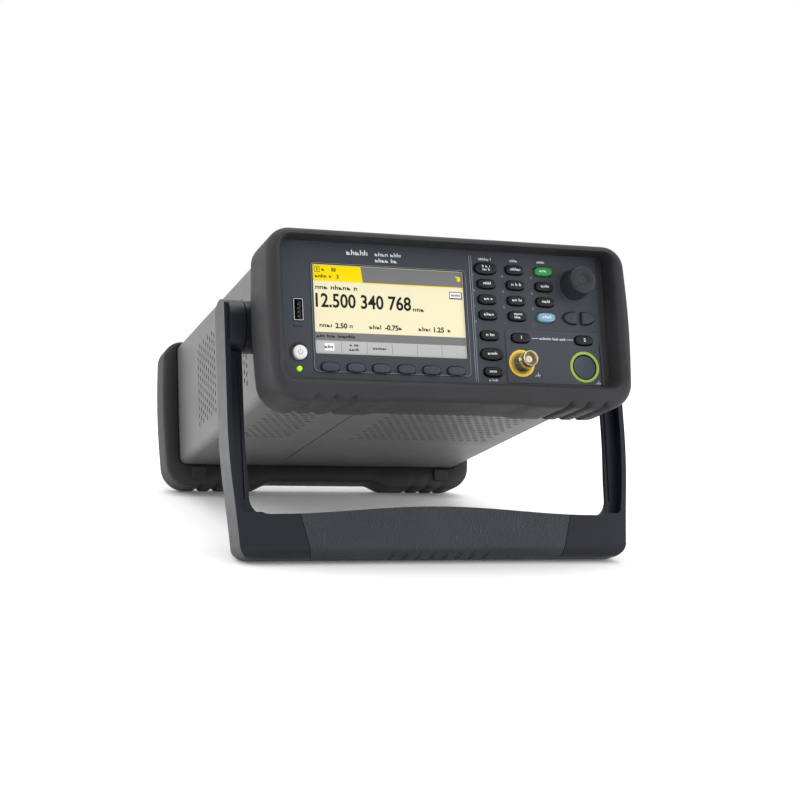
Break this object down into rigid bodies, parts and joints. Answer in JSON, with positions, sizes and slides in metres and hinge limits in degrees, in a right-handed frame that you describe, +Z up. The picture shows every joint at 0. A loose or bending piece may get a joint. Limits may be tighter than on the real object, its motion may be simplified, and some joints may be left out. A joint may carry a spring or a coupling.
{
  "type": "frequency counter",
  "caption": "Half-rack bench frequency counter with colour display, keypad, tuning knob and coaxial input, in rubber bumpers, standing tilted on its swinging carry handle.",
  "frame": {"origin": "centre of the bounding box's underside: the surface that the handle bar and the rear bumper's heel stand on", "axes": "+X to the right as seen from the front, -Y out of the front, +Z up; the chassis is tilted nose-up by 19.3 degrees about X"},
  "size_m": [0.261, 0.3164, 0.1969],
  "materials": {
    "chassis_paint": "satin warm grey paint",
    "sheet_steel": "bright plated sheet",
    "bumper_rubber": "matte charcoal",
    "panel_plastic": "fine matte dark blue-grey",
    "handle_plastic": "semi-matte blue-black",
    "grip_rubber": "pebbled matte",
    "key_plastic": "satin near-black",
    "softkey_plastic": "satin grey",
    "green_key": "satin green",
    "blue_key": "satin pale blue",
    "white_plastic": "gloss white",
    "led_lens": "lit yellow-green lens",
    "window_glass": "clear window",
    "keypad_rubber": "matte silicone",
    "circuit_board": "green solder mask",
    "knob_rubber": "matte soft-touch",
    "connector_metal": "nickel plate",
    "black_plastic": "matte black"
  },
  "bodies": {
    "chassis": {"front_bumper": "bumper_rubber", "rear_bumper": "bumper_rubber", "chassis_cover": "chassis_paint", "chassis_tray": "sheet_steel", "pivot_boss_left": "handle_plastic", "pivot_boss_right": "handle_plastic", "front_panel": "panel_plastic", "display_window": "window_glass", "display_module": "sheet_steel", "power_led": "led_lens", "channel_2_plug": "panel_plastic", "knob_encoder": "sheet_steel", "keypad_membrane": "keypad_rubber", "front_circuit_board": "circuit_board", "input_bnc": "connector_metal", "usb_host_port": "connector_metal", "rear_panel": "sheet_steel", "mains_inlet": "black_plastic", "lan_port": "connector_metal", "usb_device_port": "connector_metal", "gpib_port": "connector_metal", "reference_out_bnc": "connector_metal", "reference_in_bnc": "connector_metal", "trigger_in_bnc": "connector_metal", "gate_bnc": "connector_metal", "fan_frame": "black_plastic", "main_circuit_board": "circuit_board", "oscillator_can": "sheet_steel", "power_supply": "sheet_steel"},
    "handle": {"handle_frame": "handle_plastic", "handle_grip": "grip_rubber"},
    "tuning_knob": {"tuning_knob": "knob_rubber"},
    "fan_rotor": {"fan_rotor": "black_plastic"},
    "fuse_drawer": {"fuse_drawer": "black_plastic"},
    "auto_scale_key": {"auto_scale_key": "key_plastic"},
    "frequency_key": {"frequency_key": "key_plastic"},
    "period_key": {"period_key": "key_plastic"},
    "ratio_key": {"ratio_key": "key_plastic"},
    "digits_key": {"digits_key": "key_plastic"},
    "graph_key": {"graph_key": "key_plastic"},
    "math_key": {"math_key": "key_plastic"},
    "data_log_key": {"data_log_key": "key_plastic"},
    "preset_key": {"preset_key": "green_key"},
    "utility_key": {"utility_key": "key_plastic"},
    "help_key": {"help_key": "key_plastic"},
    "shift_key": {"shift_key": "blue_key"},
    "gate_key": {"gate_key": "key_plastic"},
    "trigger_key": {"trigger_key": "key_plastic"},
    "back_key": {"back_key": "key_plastic"},
    "channel_1_key": {"channel_1_key": "key_plastic"},
    "channel_2_key": {"channel_2_key": "key_plastic"},
    "left_arrow_key": {"left_arrow_key": "key_plastic"},
    "right_arrow_key": {"right_arrow_key": "key_plastic"},
    "softkey_1": {"softkey_1": "softkey_plastic"},
    "softkey_2": {"softkey_2": "softkey_plastic"},
    "softkey_3": {"softkey_3": "softkey_plastic"},
    "softkey_4": {"softkey_4": "softkey_plastic"},
    "softkey_5": {"softkey_5": "softkey_plastic"},
    "softkey_6": {"softkey_6": "softkey_plastic"},
    "power_button": {"power_button": "white_plastic"}
  },
  "joints": [
    {"name": "handle_swing", "type": "hinge", "parent": "chassis", "child": "handle", "pos_m": [0, -0.0859, 0.13475], "axis": [1, 0, 0], "range_deg": [-235, 50]},
    {"name": "tuning_knob_turn", "type": "hinge", "parent": "chassis", "child": "tuning_knob", "pos_m": [0.0842, -0.1293, 0.17421], "axis": [0, 0.9439, -0.3304], "continuous": true},
    {"name": "fan_spin", "type": "hinge", "parent": "chassis", "child": "fan_rotor", "pos_m": [-0.07, 0.11564, 0.0658], "axis": [0, 0.9439, -0.3304], "continuous": true},
    {"name": "fuse_drawer_slide", "type": "slide", "parent": "chassis", "child": "fuse_drawer", "axis": [0, 0.9439, -0.3304], "range_m": [0, 0.022]},
    {"name": "auto_scale_key_press", "type": "slide", "parent": "chassis", "child": "auto_scale_key", "axis": [0, 0.9439, -0.3304], "range_m": [0, 0.001], "stiffness_N_per_m": 600},
    {"name": "frequency_key_press", "type": "slide", "parent": "chassis", "child": "frequency_key", "axis": [0, 0.9439, -0.3304], "range_m": [0, 0.001], "stiffness_N_per_m": 600},
    {"name": "period_key_press", "type": "slide", "parent": "chassis", "child": "period_key", "axis": [0, 0.9439, -0.3304], "range_m": [0, 0.001], "stiffness_N_per_m": 600},
    {"name": "ratio_key_press", "type": "slide", "parent": "chassis", "child": "ratio_key", "axis": [0, 0.9439, -0.3304], "range_m": [0, 0.001], "stiffness_N_per_m": 600},
    {"name": "digits_key_press", "type": "slide", "parent": "chassis", "child": "digits_key", "axis": [0, 0.9439, -0.3304], "range_m": [0, 0.001], "stiffness_N_per_m": 600},
    {"name": "graph_key_press", "type": "slide", "parent": "chassis", "child": "graph_key", "axis": [0, 0.9439, -0.3304], "range_m": [0, 0.001], "stiffness_N_per_m": 600},
    {"name": "math_key_press", "type": "slide", "parent": "chassis", "child": "math_key", "axis": [0, 0.9439, -0.3304], "range_m": [0, 0.001], "stiffness_N_per_m": 600},
    {"name": "data_log_key_press", "type": "slide", "parent": "chassis", "child": "data_log_key", "axis": [0, 0.9439, -0.3304], "range_m": [0, 0.001], "stiffness_N_per_m": 600},
    {"name": "preset_key_press", "type": "slide", "parent": "chassis", "child": "preset_key", "axis": [0, 0.9439, -0.3304], "range_m": [0, 0.001], "stiffness_N_per_m": 600},
    {"name": "utility_key_press", "type": "slide", "parent": "chassis", "child": "utility_key", "axis": [0, 0.9439, -0.3304], "range_m": [0, 0.001], "stiffness_N_per_m": 600},
    {"name": "help_key_press", "type": "slide", "parent": "chassis", "child": "help_key", "axis": [0, 0.9439, -0.3304], "range_m": [0, 0.001], "stiffness_N_per_m": 600},
    {"name": "shift_key_press", "type": "slide", "parent": "chassis", "child": "shift_key", "axis": [0, 0.9439, -0.3304], "range_m": [0, 0.001], "stiffness_N_per_m": 600},
    {"name": "gate_key_press", "type": "slide", "parent": "chassis", "child": "gate_key", "axis": [0, 0.9439, -0.3304], "range_m": [0, 0.001], "stiffness_N_per_m": 600},
    {"name": "trigger_key_press", "type": "slide", "parent": "chassis", "child": "trigger_key", "axis": [0, 0.9439, -0.3304], "range_m": [0, 0.001], "stiffness_N_per_m": 600},
    {"name": "back_key_press", "type": "slide", "parent": "chassis", "child": "back_key", "axis": [0, 0.9439, -0.3304], "range_m": [0, 0.001], "stiffness_N_per_m": 600},
    {"name": "channel_1_key_press", "type": "slide", "parent": "chassis", "child": "channel_1_key", "axis": [0, 0.9439, -0.3304], "range_m": [0, 0.001], "stiffness_N_per_m": 600},
    {"name": "channel_2_key_press", "type": "slide", "parent": "chassis", "child": "channel_2_key", "axis": [0, 0.9439, -0.3304], "range_m": [0, 0.001], "stiffness_N_per_m": 600},
    {"name": "left_arrow_key_press", "type": "slide", "parent": "chassis", "child": "left_arrow_key", "axis": [0, 0.9439, -0.3304], "range_m": [0, 0.001], "stiffness_N_per_m": 600},
    {"name": "right_arrow_key_press", "type": "slide", "parent": "chassis", "child": "right_arrow_key", "axis": [0, 0.9439, -0.3304], "range_m": [0, 0.001], "stiffness_N_per_m": 600},
    {"name": "softkey_1_press", "type": "slide", "parent": "chassis", "child": "softkey_1", "axis": [0, 0.9439, -0.3304], "range_m": [0, 0.001], "stiffness_N_per_m": 600},
    {"name": "softkey_2_press", "type": "slide", "parent": "chassis", "child": "softkey_2", "axis": [0, 0.9439, -0.3304], "range_m": [0, 0.001], "stiffness_N_per_m": 600},
    {"name": "softkey_3_press", "type": "slide", "parent": "chassis", "child": "softkey_3", "axis": [0, 0.9439, -0.3304], "range_m": [0, 0.001], "stiffness_N_per_m": 600},
    {"name": "softkey_4_press", "type": "slide", "parent": "chassis", "child": "softkey_4", "axis": [0, 0.9439, -0.3304], "range_m": [0, 0.001], "stiffness_N_per_m": 600},
    {"name": "softkey_5_press", "type": "slide", "parent": "chassis", "child": "softkey_5", "axis": [0, 0.9439, -0.3304], "range_m": [0, 0.001], "stiffness_N_per_m": 600},
    {"name": "softkey_6_press", "type": "slide", "parent": "chassis", "child": "softkey_6", "axis": [0, 0.9439, -0.3304], "range_m": [0, 0.001], "stiffness_N_per_m": 600},
    {"name": "power_button_press", "type": "slide", "parent": "chassis", "child": "power_button", "axis": [0, 0.9439, -0.3304], "range_m": [0, 0.001], "stiffness_N_per_m": 600}
  ]
}
